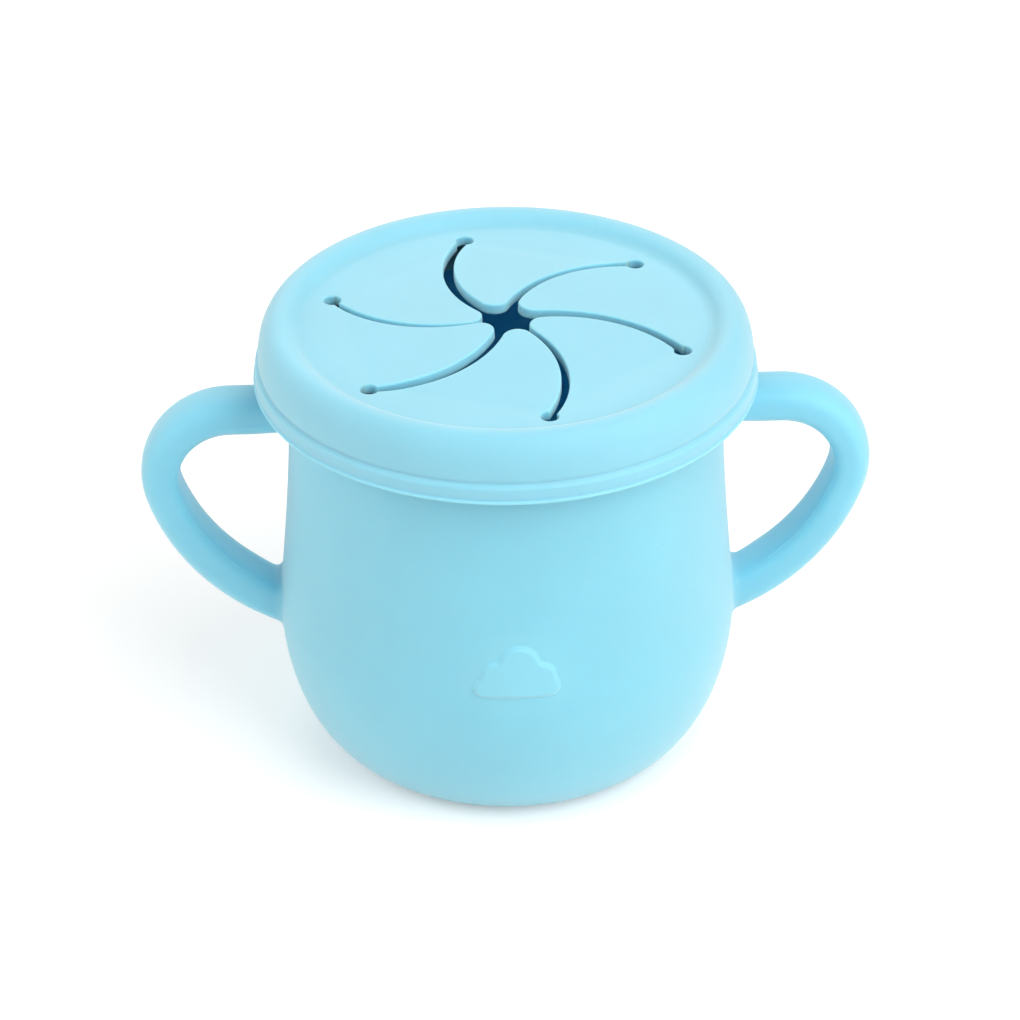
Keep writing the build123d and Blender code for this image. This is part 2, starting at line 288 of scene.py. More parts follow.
def cup_outline(cup):
    """From the middle of the foot, up the outside, over the rim and down the inside."""
    mouth = cup.neck_radius - cup.wall
    bead_bottom = CUP_TOP - cup.bead_height
    flare = bead_bottom - cup.bead_flare
    outside = wall_outline(cup, flare - cup.rim_rounding)
    inside = wall_outline(cup, flare, cup.wall, cup.floor)
    rim = rounded([(cup.neck_radius, flare - cup.rim_rounding, 0),
                   (cup.neck_radius, flare, cup.rim_rounding),
                   (RIM_BEAD_RADIUS, bead_bottom, cup.rim_rounding),
                   (RIM_BEAD_RADIUS, CUP_TOP, cup.rim_rounding),
                   (mouth, CUP_TOP, cup.rim_rounding),
                   (mouth, flare, 0)])
    return outside + rim[1:-1] + inside[::-1]


def handle_path(cup, handle):
    """The handle's middle line, as a function of the distance, with its bend's end and length."""
    top = HANDLE_TOP - handle.thickness / 2
    bend_centre = Vector((cup.neck_radius + handle.upper_run, top - handle.bend_radius))
    bend_length = handle.bend_radius * handle.bend_turn
    bend_start = handle.upper_run
    bend_end = bend_start + bend_length
    run_start = bend_centre + Matrix.Rotation(-handle.bend_turn, 2) @ Vector((0, handle.bend_radius))
    run_heading = Matrix.Rotation(-handle.bend_turn, 2) @ Vector((1, 0))
    root = Vector((cup.belly_radius + handle.root_reach, handle.root_height))
    chord = root - run_start
    run_radius = chord.length_squared / (2 * abs(chord.cross(run_heading)))
    run_turn = 2 * asin(chord.length / (2 * run_radius))
    run_side = Matrix.Rotation(-pi / 2, 2) @ run_heading
    run_centre = run_start + run_side * run_radius
    length = bend_end + run_radius * run_turn

    def at(distance):
        """Middle point and heading; past the lower root the line runs on straight."""
        if distance < bend_start:
            return Vector((cup.neck_radius + distance, top)), Vector((1, 0))
        if distance < bend_end:
            turn = Matrix.Rotation(-(distance - bend_start) / handle.bend_radius, 2)
            return bend_centre + turn @ Vector((0, handle.bend_radius)), turn @ Vector((1, 0))
        swept = min(distance, length) - bend_end
        turn = Matrix.Rotation(-swept / run_radius, 2)
        point = run_centre + turn @ (run_start - run_centre)
        heading = turn @ run_heading
        return point + heading * max(0.0, distance - length), heading

    return at, bend_end, length


def power(value, exponent):
    """Power of the size of a value, with the value's sign."""
    return copysign(abs(value) ** exponent, value)


WALL_SEARCH_ROUNDS = 40      # each halves the stretch in which the handle meets the wall
NUDGE = 1e-4                 # small step, or small turn, from which a slope is taken


class HandleSkin:
    """Surface of one handle: a point for each distance along it and turn about it.

    A turn of 0 faces the front, a quarter turn faces the finger gap.
    """

    def __init__(self, cup, handle, side):
        self.cup, self.handle, self.side = cup, handle, side
        self.at, self.bend_end, self.length = handle_path(cup, handle)

    def thickness(self, distance):
        """Thickness seen from the front, which grows along the lower run."""
        share = (distance - self.bend_end) / (self.length - self.bend_end)
        share = min(1.0, max(0.0, share))
        handle = self.handle
        return handle.thickness + (handle.root_thickness - handle.thickness) * share

    def point(self, distance, turn):
        """Point on the plain section, an ellipse made fuller outside and inside."""
        middle, heading = self.at(distance)
        inward = Vector((heading.y, -heading.x))
        fullness = self.handle.inner_fullness if sin(turn) > 0 else self.handle.outer_fullness
        across = self.handle.width / 2 * power(cos(turn), 2 / fullness)
        inner = self.thickness(distance) / 2 * power(sin(turn), 2 / fullness)
        flat = middle + inward * inner
        return Vector((self.side * flat.x, -across, flat.y))

    def lined_point(self, distance, turn, room):
        """Point with the fine mould line, which fades out where there is no room left."""
        point = self.point(distance, turn)
        lines = (self.handle.seam_side, pi - self.handle.seam_side)
        away = min(abs(turn - line) for line in lines) / MOULD_LINE_HALF
        rise = self.handle.seam_rise * max(0.0, 1 - away) * min(1.0, room / MOULD_LINE_FADE)
        middle, _ = self.at(distance)
        middle = Vector((self.side * middle.x, 0, middle.y))
        return point + (point - middle).normalized() * rise

    def outside(self, point):
        """How far a point lies outside the cup's wall."""
        return hypot(point.x, point.y) - wall_radius(self.cup, point.z)

    def meets_wall(self, turn, inner, outer):
        """Distance along the handle where this side of it meets the wall."""
        for _ in range(WALL_SEARCH_ROUNDS):
            middle = (inner + outer) / 2
            if self.outside(self.point(middle, turn)) > 0:
                outer = middle
            else:
                inner = middle
        return outer

    def on_wall(self, point):
        """The point moved straight out or in to the wall."""
        scale = wall_radius(self.cup, point.z) / hypot(point.x, point.y)
        return Vector((point.x * scale, point.y * scale, point.z))

    def wall_normal(self, point):
        """Outward normal of the wall at a point on it."""
        gain = wall_radius(self.cup, point.z + NUDGE) - wall_radius(self.cup, point.z - NUDGE)
        slope = gain / (2 * NUDGE)
        return Vector((point.x, point.y, -slope * hypot(point.x, point.y))).normalized()

    def root_curve(self, turn, inner, outer):
        """Start, corner and end of the rounding between this side of the handle and the wall."""
        meet = self.meets_wall(turn, inner, outer)
        away = copysign(1.0, outer - inner)
        corner = self.point(meet, turn)
        along = (self.point(meet + away * NUDGE, turn) - corner).normalized()
        beside = self.point(meet, turn + NUDGE) - self.point(meet, turn - NUDGE)
        normal = self.wall_normal(corner)
        outward = along.cross(beside).normalized()
        middle, _ = self.at(meet)
        if outward.dot(corner - Vector((self.side * middle.x, 0, middle.y))) < 0:
            outward = -outward
        spread = (outward - normal * outward.dot(normal)).normalized()
        front = cos(turn) ** 2
        rounding = self.handle.root_fillet * (1 - front) + self.handle.side_fillet * front
        reach = rounding / tan(along.angle(spread) / 2)
        end = self.on_wall(corner + spread * reach)
        return meet + away * reach, corner, end


RING_STEP = 0.0014           # spacing of the rings along a handle
FILLET_STEPS = 8
HANDLE_SIDES = 44
MOULD_LINE_HALF = radians(2.6)      # half the mould line's width, as a turn about the handle
MOULD_LINE_MARGIN = 2.2 * MOULD_LINE_HALF    # the even sides keep this far from it
MOULD_LINE_FADE = 0.004      # the mould line's end runs out over this length
ROOT_DEPTH = 0.008           # the search for the wall starts this far inside it
UPPER_FREE = 0.006           # this far along, the upper run is outside the wall
LOWER_FREE = 0.012           # and this far before its end, so is the lower one


def section_turns(handle):
    """Turns about the handle, closer together over the two mould lines."""
    turns = [2 * pi * step / HANDLE_SIDES for step in range(HANDLE_SIDES)]
    for line in (handle.seam_side, pi - handle.seam_side):
        turns = [turn for turn in turns if abs(turn - line) > MOULD_LINE_MARGIN]
        turns += [line + MOULD_LINE_HALF * step for step in (-2, -1, 0, 1, 2)]
    return sorted(turns)


def ring_places(skin, upper, lower):
    """The handle's rings, from the upper root to the lower, each a function of the turn."""
    first = max(start for start, _, _ in upper.values())
    last = min(start for start, _, _ in lower.values())

    def body(distance):
        def place(turn):
            return skin.lined_point(distance, turn, min(distance - first, last - distance))
        return place

    def between(root, regular, share):
        def place(turn):
            return skin.point(root[turn][0] + (regular - root[turn][0]) * share, turn)
        return place

    def fillet(root, share):
        def place(turn):
            start, corner, end = root[turn]
            rest = 1 - share
            return (skin.point(start, turn) * rest * rest + corner * 2 * rest * share
                    + end * share * share)
        return place

    shares = [step / FILLET_STEPS for step in range(1, FILLET_STEPS + 1)]
    steps = ceil((last - first) / RING_STEP)
    places = [fillet(upper, share) for share in reversed(shares)]
    places += [between(upper, first, share) for share in (0, 0.5)]
    places += [body(first + (last - first) * step / steps) for step in range(steps + 1)]
    places += [between(lower, last, share) for share in (0.5, 0)]
    places += [fillet(lower, share) for share in shares]
    return places


def grow_rings(mesh, places, turns):
    """Extrudes a ring of edges from place to place; returns the first loop and the last."""
    layer = mesh.verts.layers.float.get("turn") or mesh.verts.layers.float.new("turn")
    ring = [mesh.verts.new(places[0](turn)) for turn in turns]
    for vert, turn in zip(ring, turns):
        vert[layer] = turn
    first_loop = [mesh.edges.new(pair) for pair in zip(ring, ring[1:] + ring[:1])]
    loop = first_loop
    for place in places[1:]:
        made = bmesh.ops.extrude_edge_only(mesh, edges=loop)["geom"]
        ends = {item for item in made if isinstance(item, bmesh.types.BMVert)}
        loop = [item for item in made
                if isinstance(item, bmesh.types.BMEdge) and set(item.verts) <= ends]
        for vert in ends:
            vert.co = place(min(turns, key=lambda turn: abs(turn - vert[layer])))
    return first_loop, loop


def add_handle(mesh, cup, handle, side, wall):
    """Grows one handle as rings of vertices and joins it to the cup's wall faces."""
    skin = HandleSkin(cup, handle, side)
    turns = section_turns(handle)
    upper = {turn: skin.root_curve(turn, -ROOT_DEPTH, UPPER_FREE) for turn in turns}
    lower = {turn: skin.root_curve(turn, skin.length + ROOT_DEPTH, skin.length - LOWER_FREE)
             for turn in turns}
    first_loop, last_loop = grow_rings(mesh, ring_places(skin, upper, lower), turns)
    for loop, root in ((first_loop, upper), (last_loop, lower)):
        join_to_wall(mesh, loop, [end for _, _, end in root.values()], wall)


OPENING_MARGIN = 0.9 * WALL_STEP    # the wall is opened this far outside the foot ring
OPENING_REACH = 0.02         # and nowhere farther than this from the ring's middle
SKIN_DEPTH = 0.0015          # faces deeper than this below the ring belong to the inside


def join_to_wall(mesh, loop, ring, wall):
    """Opens the wall round a handle's foot ring and bridges the opening to it."""
    middle = sum(ring, Vector()) / len(ring)
    heading = atan2(middle.y, middle.x)
    radius = hypot(middle.x, middle.y)

    def chart(point):
        turn = (atan2(point.y, point.x) - heading + pi) % (2 * pi) - pi
        return Vector((turn * radius, point.z - middle.z))

    flat = [chart(point) for point in ring]

    def covered(face):
        centre = face.calc_center_median()
        if hypot(centre.x, centre.y) < radius - SKIN_DEPTH or centre.dot(middle) < 0:
            return False
        spot = chart(centre)
        if spot.length > OPENING_REACH:
            return False
        nearest = min(flat, key=lambda edge: edge.angle(spot, pi))
        return spot.length < nearest.length + OPENING_MARGIN

    gone = [face for face in wall if face.is_valid and covered(face)]
    wall_edges = dict.fromkeys(edge for face in gone for edge in face.edges)
    bmesh.ops.delete(mesh, geom=gone, context="FACES")
    border = [edge for edge in wall_edges if edge.is_valid and edge.is_boundary]
    collar = bmesh.ops.bridge_loops(mesh, edges=border + list(loop))["faces"]
    collar = bmesh.ops.triangulate(mesh, faces=collar)["faces"]
    collar_edges = dict.fromkeys(edge for face in collar for edge in face.edges)
    inner_edges = [edge for edge in collar_edges
                   if all(face in collar for face in edge.link_faces)]
    bmesh.ops.beautify_fill(mesh, faces=collar, edges=inner_edges)


def build_cup(cup, handle):
    """The cup's turned body with a handle on each side."""
    mesh = bmesh.new()
    spin_outline(mesh, cup_outline(cup))
    centres = [(face, face.calc_center_median()) for face in mesh.faces]
    wall = [face for face, centre in centres
            if hypot(centre.x, centre.y) > wall_radius(cup, centre.z) - cup.wall / 2]
    for side in (1, -1):
        add_handle(mesh, cup, handle, side, wall)
    return mesh


# ================================================================= ornament
def cloud_reach(ornament, heading):
    """Distance from the cloud's middle to its edge in one direction."""
    bottom = -ornament.height / 2
    base_radius = ornament.base / 2
    base_middle = bottom + base_radius
    base_half = ornament.width / 2 - base_radius
    puff_level = bottom + ornament.base
    circles = [(ornament.lean - ornament.puff_step, puff_level, ornament.left_puff),
               (ornament.lean, ornament.height / 2 - ornament.top_puff, ornament.top_puff),
               (ornament.lean + ornament.puff_step, puff_level, ornament.right_puff),
               (-base_half, base_middle, base_radius),
               (base_half, base_middle, base_radius)]
    x, z = cos(heading), sin(heading)
    reach = 0.0
    for across, up, radius in circles:
        along = across * x + up * z
        gap = radius * radius - (across * across + up * up - along * along)
        if gap > 0:
            reach = max(reach, along + sqrt(gap))
    if z < 0:
        down = bottom / z
        if abs(down * x) < base_half:
            reach = max(reach, down)
    return reach


CLOUD_SIDES = 120
CLOUD_SMOOTHING = 2          # rounds that soften the corners between the puffs
CLOUD_STRIP = 0.0009         # width of the strips that let the cloud follow the wall
CLOUD_ROW = 0.0018           # height of its rows
CLOUD_ROWS = 2               # cuts above the cloud's middle, and as many below it
EDGE_STEPS = 8
EDGE_BELOW = 0.00004         # the soft edge starts this far under the wall's surface
EDGE_SOFTNESS = 1.5          # how slowly the soft edge starts to rise
CLOUD_FADE = 0.004           # from the cloud's edge to where the light enters the wall fully


def edge_rise(share):
    """Height of the soft edge, as a share, from its foot to the flat of the cloud."""
    return sin(share * pi / 2) ** EDGE_SOFTNESS


def build_ornament(cup, ornament):
    """Raised cloud with softened edges, laid on the wall's curve."""
    mesh = bmesh.new()
    made = bmesh.ops.create_circle(mesh, cap_ends=True, segments=CLOUD_SIDES, radius=1.0)
    for vert in made["verts"]:
        heading = atan2(vert.co.y, vert.co.x)
        reach = cloud_reach(ornament, heading)
        vert.co = (reach * cos(heading), reach * sin(heading), 0)
    for _ in range(CLOUD_SMOOTHING):
        bmesh.ops.smooth_vert(mesh, verts=mesh.verts, factor=0.5,
                              use_axis_x=True, use_axis_y=True)
    raised = bmesh.ops.extrude_face_region(mesh, geom=mesh.faces[:])["geom"]
    top = [item for item in raised if isinstance(item, bmesh.types.BMFace)]
    bmesh.ops.translate(mesh, verts=mesh.verts, vec=(0, 0, -ornament.root))
    bmesh.ops.translate(mesh, verts=top[0].verts, vec=(0, 0, ornament.root - EDGE_BELOW))
    bmesh.ops.recalc_face_normals(mesh, faces=mesh.faces)
    for step in range(1, EDGE_STEPS + 1):
        rise = edge_rise(step / EDGE_STEPS) - edge_rise((step - 1) / EDGE_STEPS)
        bmesh.ops.inset_region(mesh, faces=top, thickness=ornament.edge / EDGE_STEPS,
                               depth=(ornament.relief + EDGE_BELOW) * rise, use_even_offset=True)
    strips = int(ornament.width / CLOUD_STRIP)
    for index in range(-strips // 2, strips // 2 + 1):
        cut(mesh, (index * CLOUD_STRIP, 0, 0), (1, 0, 0))
    for index in range(-CLOUD_ROWS, CLOUD_ROWS + 1):
        cut(mesh, (0, index * CLOUD_ROW, 0), (0, 1, 0))
    for vert in mesh.verts:
        height = ornament.middle_height + vert.co.y
        radius = wall_radius(cup, height) + vert.co.z
        turn = vert.co.x / wall_radius(cup, ornament.middle_height)
        vert.co = (radius * sin(turn), -radius * cos(turn), height)
    layer = mesh.verts.layers.float.new(SURFACE_LIGHT)
    for vert in mesh.verts:
        vert[layer] = 1.0
    return mesh


def mark_cloud_place(mesh, cup, ornament):
    """Keeps the light on the surface of the wall under the cloud and round it."""
    layer = mesh.verts.layers.float.new(SURFACE_LIGHT)
    for vert in mesh.verts:
        across = atan2(vert.co.x, -vert.co.y) * wall_radius(cup, ornament.middle_height)
        up = vert.co.z - ornament.middle_height
        away = hypot(across, up) - cloud_reach(ornament, atan2(up, across))
        vert[layer] = min(1.0, max(0.0, 1 - away / CLOUD_FADE))


# ================================================================= lid
FALL_STEPS = 8
DOME_STEPS = 22
DISC_MARGIN = 0.001          # the turned outline starts this far inside the flat top's edge
LIP_TOP = 0.00066            # where the band starts to lean out, above the lip's foot
LIP_WIDEST = 0.00042         # where the lip is widest, above its foot
LIP_ROUNDING = 0.0002
LIP_EDGE_ROUNDING = 0.00015


def disc_height(lid):
    """Height of the flat top's upper face."""
    return LID_HIGH.z - lid.disc_drop


def fall_points(lid):
    """From the flat top up to the crest: a hollow rounding that runs on into a full one."""
    crest, top = LID_HIGH.x - lid.crest_inset, LID_HIGH.z
    disc, level = LID_HIGH.x - lid.disc_inset, disc_height(lid)
    run = crest - disc
    both_radii = (run * run + lid.disc_drop ** 2) / (2 * lid.disc_drop)
    fall_turn = asin(run / both_radii)
    points = []
    for step in range(1, FALL_STEPS + 1):
        turn = fall_turn * step / FALL_STEPS
        points.append((disc + lid.dip_rounding * sin(turn),
                       level + lid.dip_rounding * (1 - cos(turn)), 0))
    crest_radius = both_radii - lid.dip_rounding
    for step in range(1, FALL_STEPS):
        turn = fall_turn * (1 - step / FALL_STEPS)
        points.append((crest - crest_radius * sin(turn), top - crest_radius * (1 - cos(turn)), 0))
    return points


def dome_points(lid):
    """From the crest out and down to the dome's widest place."""
    crest, top = LID_HIGH.x - lid.crest_inset, LID_HIGH.z
    widest, level_widest = LID_HIGH.x - lid.dome_inset, LID_LOW.z + lid.dome_height
    points = []
    for step in range(DOME_STEPS + 1):
        turn = pi / 2 * step / DOME_STEPS
        across = (widest - crest) * power(sin(turn), 2 / lid.dome_fullness)
        rise = (top - level_widest) * power(cos(turn), 2 / lid.dome_fullness)
        points.append((crest + across, level_widest + rise, 0))
    return points


def lid_outline(cup, lid):
    """From the flat top outwards over the dome and the band, then in under the rim."""
    edge, foot = LID_HIGH.x, LID_LOW.z
    disc, level = edge - lid.disc_inset, disc_height(lid)
    band = edge - lid.band_inset
    channel_outer = RIM_BEAD_RADIUS + lid.fit
    seal_outer = cup.neck_radius - cup.wall - lid.fit
    seal_inner = seal_outer - lid.seal_wall
    ceiling, seal_foot = CUP_TOP, CUP_TOP - lid.seal_depth
    corners = [(disc - DISC_MARGIN, level, 0), (disc, level, 0)]
    corners += fall_points(lid) + dome_points(lid)
    corners += [(edge - lid.groove_inset, foot + lid.groove_height, lid.edge),
                (band, foot + lid.band_top, lid.shoulder),
                (band, foot + LIP_TOP, LIP_ROUNDING),
                (edge, foot + LIP_WIDEST, LIP_EDGE_ROUNDING),
                (edge, foot, LIP_ROUNDING),
                (channel_outer, foot, lid.edge),
                (channel_outer, ceiling, lid.edge),
                (seal_outer, ceiling, lid.edge),
                (seal_outer, seal_foot, lid.edge),
                (seal_inner, seal_foot, lid.edge),
                (seal_inner, level - lid.membrane, 0)]
    return rounded(corners, steps=4)


def level_way(heading):
    """Level direction at a heading."""
    return Vector((cos(heading), sin(heading)))


def hole_middle(index):
    """Middle of the hole before a flap."""
    return level_way(FLAP_ANGLES[index] - SECTOR / 2) * HOLE_CIRCLE


def seam_ends(flaps, index):
    """Where a flap's root line leaves the hole before it and enters the hole after it."""
    out = level_way(FLAP_ANGLES[index])
    along = level_way(FLAP_ANGLES[index] + pi / 2)
    half = sqrt(flaps.hole_radius ** 2 - flaps.seam_offset ** 2)
    start = hole_middle(index) + out * flaps.seam_offset + along * half
    end = hole_middle((index + 1) % len(FLAP_ANGLES)) + out * flaps.seam_offset - along * half
    return start, end


SEAM_PARTS = 22              # points along a root line, and round the outer side of a hole
HOLE_PARTS = 10
ARC_STEP = 0.0005            # spacing of the points along slits, tips and holes


def arc(centre, start, end, clockwise):
    """Points of a circular arc from start to end, both included."""
    first, last = start - centre, end - centre
    turn = atan2(first.cross(last), first.dot(last))
    if clockwise and turn > 0:
        turn -= 2 * pi
    if not clockwise and turn < 0:
        turn += 2 * pi
    count = max(2, ceil(abs(turn) * first.length / ARC_STEP))
    return [centre + Matrix.Rotation(turn * part / count, 2) @ first for part in range(count + 1)]


def window_outline(flaps):
    """The opening that the flaps fill: root lines, joined round the outer side of each hole.

    It starts in the middle of the first flap's root line.
    """
    points = []
    count = len(FLAP_ANGLES)
    for index in range(count):
        start, end = seam_ends(flaps, index)
        points += [start.lerp(end, part / SEAM_PARTS) for part in range(SEAM_PARTS + 1)]
        after = (index + 1) % count
        first = end - hole_middle(after)
        last = seam_ends(flaps, after)[0] - hole_middle(after)
        turn = first.angle(last)
        points += [hole_middle(after) + Matrix.Rotation(turn * part / HOLE_PARTS, 2) @ first
                   for part in range(1, HOLE_PARTS)]
    half = SEAM_PARTS // 2
    return points[half:] + points[:half]


BOTH_LEVEL = 1.5             # two level faces come to 2, a level and an upright one to 1


def turns_down(edge):
    """True where one face of an edge is level and the other upright."""
    faces = edge.link_faces
    return len(faces) == 2 and sum(abs(face.normal.z) for face in faces) < BOTH_LEVEL


def round_slit_edges(mesh, flaps, levels, keep):
    """Softens the upper and lower edges along slits and holes, but not those to be kept."""
    edges = [edge for edge in mesh.edges
             if any(all(abs(vert.co.z - level) < SAME_PLACE for vert in edge.verts)
                    for level in levels)
             and turns_down(edge) and not keep(edge)]
    bmesh.ops.bevel(mesh, geom=edges, offset=flaps.edge, segments=3, profile=0.5,
                    affect="EDGES", offset_type="OFFSET", clamp_overlap=False, material=-1)


def on_seam(flaps, edge):
    """True where an edge lies on the root line of a flap."""
    root_reach = HINGE_REACH + flaps.seam_offset
    for heading in FLAP_ANGLES:
        out = level_way(heading).to_3d()
        if all(abs(vert.co.dot(out) - root_reach) < SAME_PLACE for vert in edge.verts):
            return True
    return False


ROOT_FADE = 0.002            # from a root line to where the light enters fully
SAME_TURN = 1e-4             # turns that differ by less than this are one
HOLE_CLEARANCE = 1.2         # in hole radii, from a hole's middle to where no edge is softened


def crease_seams(mesh, flaps, level, under):
    """Marks the hidden walls of the roots, and how near each point is to a root line.

    Points on the walls of slits and holes, between the upper and lower skin, count as far.
    """
    for edge in mesh.edges:
        if on_seam(flaps, edge):
            edge.smooth = False
    layer = mesh.verts.layers.float.new(SURFACE_LIGHT)
    for vert in mesh.verts:
        reach = max(vert.co.xy.dot(level_way(heading)) for heading in FLAP_ANGLES)
        away = abs(reach - HINGE_REACH - flaps.seam_offset)
        on_wall = under + flaps.edge / 2 < vert.co.z < level - flaps.edge / 2
        vert[layer] = 0.0 if on_wall else max(0.0, 1 - away / ROOT_FADE)


def turn_from(heading, point):
    """Turn about Z from a heading to a point, from 0 to a full turn."""
    turn = (atan2(point.y, point.x) - heading) % (2 * pi)
    return 0.0 if turn > 2 * pi - SAME_TURN else turn


def add_skin(mesh, flaps, height):
    """Fills one skin of the flat top from its border to the window; returns the window's edges."""
    border = [vert for vert in mesh.verts
              if vert.is_boundary and abs(vert.co.z - height) < SAME_PLACE]
    border.sort(key=lambda vert: turn_from(FLAP_ANGLES[0], vert.co))
    window = [mesh.verts.new((point.x, point.y, height)) for point in window_outline(flaps)]
    edges = [mesh.edges.new(pair) for pair in zip(window, window[1:] + window[:1])]
    part = len(window) // len(FLAP_ANGLES)
    for index in range(len(FLAP_ANGLES)):
        span = [step % len(window) for step in range(index * part, (index + 1) * part + 1)]
        mesh.faces.new([border[step] for step in span] + [window[step] for step in span[::-1]])
    return edges


def build_lid(cup, lid, flaps):
    """The lid's turned body, with a window for the flaps in its flat top."""
    mesh = bmesh.new()
    spin_outline(mesh, lid_outline(cup, lid), FLAP_ANGLES[0] - SECTOR / 2)
    level = disc_height(lid)
    under = level - lid.membrane
    walls = add_skin(mesh, flaps, level) + add_skin(mesh, flaps, under)
    bmesh.ops.bridge_loops(mesh, edges=walls)
    bmesh.ops.recalc_face_normals(mesh, faces=mesh.faces)
    past_holes = HOLE_CIRCLE + HOLE_CLEARANCE * flaps.hole_radius

    def keep(edge):
        return on_seam(flaps, edge) or any(vert.co.xy.length > past_holes for vert in edge.verts)

    round_slit_edges(mesh, flaps, (level, under), keep)
    crease_seams(mesh, flaps, level, under)
    return mesh


# ================================================================= flaps
BEND_CUT = 0.0004            # width of the strips where a flap bends
PLAIN_CUT = 0.002            # and of those that stay flat
TIP_UNCUT = 0.003            # no cut nearer to the middle of the lid


def circles_meet(centre_a, radius_a, centre_b, radius_b, near):
    """The crossing of two circles that lies nearer to a given point."""
    gap = centre_b - centre_a
    along = (radius_a ** 2 - radius_b ** 2 + gap.length_squared) / (2 * gap.length)
    across = sqrt(max(0.0, radius_a ** 2 - along ** 2))
    foot = centre_a + gap.normalized() * along
    side = Vector((-gap.y, gap.x)).normalized() * across
    return min((foot + side, foot - side), key=lambda point: (point - near).length)


def slit_centre(flaps, index):
    """Centre of the arc that one slit follows, from the middle of the lid to its hole."""
    half_turn = asin(HOLE_CIRCLE / (2 * flaps.slit_radius))
    heading = FLAP_ANGLES[index] - SECTOR / 2 - (pi / 2 - half_turn)
    return level_way(heading) * flaps.slit_radius


def flap_outline(flaps, index):
    """Plan of one flap: root line, hole, slit, tip, slit and hole."""
    after = (index + 1) % len(FLAP_ANGLES)
    near, far = slit_centre(flaps, index), slit_centre(flaps, after)
    near_edge = flaps.slit_radius + SLIT_WIDTHS[index] / 2
    far_edge = flaps.slit_radius - SLIT_WIDTHS[after] / 2
    tip = circles_meet(near, near_edge + flaps.tip_rounding, far, far_edge - flaps.tip_rounding,
                       Vector((0, 0)))
    tip_start = far + (tip - far).normalized() * far_edge
    tip_end = near + (tip - near).normalized() * near_edge
    start, end = seam_ends(flaps, index)
    near_hole, far_hole = hole_middle(index), hole_middle(after)
    far_mouth = circles_meet(far_hole, flaps.hole_radius, far, far_edge, Vector((0, 0)))
    near_mouth = circles_meet(near_hole, flaps.hole_radius, near, near_edge, Vector((0, 0)))
    points = [start.lerp(end, part / SEAM_PARTS) for part in range(SEAM_PARTS)]
    points += arc(far_hole, end, far_mouth, clockwise=True)[:-1]
    points += arc(far, far_mouth, tip_start, clockwise=False)[:-1]
    points += arc(tip, tip_start, tip_end, clockwise=False)[:-1]
    points += arc(near, tip_end, near_mouth, clockwise=True)[:-1]
    points += arc(near_hole, near_mouth, start, clockwise=True)[:-1]
    return points


def build_flap(lid, flaps, index):
    """One flap: its plan as a plate, edges rounded, cut into strips and lifted a little."""
    mesh = bmesh.new()
    level = disc_height(lid)
    verts = [mesh.verts.new((point.x, point.y, level - lid.membrane))
             for point in flap_outline(flaps, index)]
    mesh.faces.new(verts)
    raised = bmesh.ops.extrude_face_region(mesh, geom=mesh.faces[:])["geom"]
    top = [item for item in raised if isinstance(item, bmesh.types.BMVert)]
    bmesh.ops.translate(mesh, verts=top, vec=(0, 0, lid.membrane))
    bmesh.ops.recalc_face_normals(mesh, faces=mesh.faces)
    round_slit_edges(mesh, flaps, (level, level - lid.membrane),
                     lambda edge: on_seam(flaps, edge))
    out = level_way(FLAP_ANGLES[index]).to_3d()
    reach = HINGE_REACH + flaps.seam_offset - BEND_CUT
    while reach > TIP_UNCUT:
        cut(mesh, out * reach, out)
        reach -= BEND_CUT if reach > HINGE_REACH - flaps.bend else PLAIN_CUT
    crease_seams(mesh, flaps, level, level - lid.membrane)
    hinge = out * HINGE_REACH + Vector((0, 0, HINGE_HEIGHT))
    axis = Vector((-out.y, out.x, 0))
    for vert in mesh.verts:
        inward = HINGE_REACH + flaps.seam_offset - vert.co.dot(out)
        share = min(1.0, max(0.0, inward / (flaps.seam_offset + flaps.bend)))
        lift = FLAP_LIFTS[index] * share * share * (3 - 2 * share)
        vert.co = hinge + Matrix.Rotation(lift, 3, axis) @ (vert.co - hinge)
    return mesh


# ================================================================= materials
# What is the same all over the silicone, by the shader's own sockets
SILICONE = {"IOR": 1.5, "Specular IOR Level": 1.0, "Coat Weight": 1.0, "Coat Roughness": 0.75,
            "Sheen Weight": 0.4, "Sheen Roughness": 0.5, "Subsurface Radius": (0.6, 0.9, 1.0)}
ROUGHNESS = (0.66, 0.74)     # where the clouding is darkest and palest
CLOUDING_SCALE = 38
CLOUDING_DEPTH = 0.03        # how far the clouding lightens or darkens the tint
CLOUDING_RANGE = (0.3, 0.7)  # greys of the noise at which it does so fully
DUST_SCALE = 70
DUST_RADII = (0.012, 0.022)  # full and faded radius of a speck, in cells of the pattern
DUST_COVER = 0.5             # how much of the silicone a speck hides
DUST_COLOUR = (0.12, 0.2, 0.22, 1)
GRAIN_SCALE = 2600           # moulded grain, about 0.4 mm from bump to bump
GRAIN_HEIGHT = 0.00004
GRAIN_STRENGTH = 0.1
RIPPLE_SCALE = 90            # slight unevenness, about 11 mm from wave to wave
RIPPLE_HEIGHT = 0.0002
RIPPLE_STRENGTH = 0.15


def noise(material, place, scale, detail):
    """Grey noise over a place's coordinates."""
    nodes, links = material.node_tree.nodes, material.node_tree.links
    pattern = nodes.new("ShaderNodeTexNoise")
    pattern.inputs["Scale"].default_value = scale
    pattern.inputs["Detail"].default_value = detail
    links.new(place, pattern.inputs["Vector"])
    return pattern.outputs["Fac"]


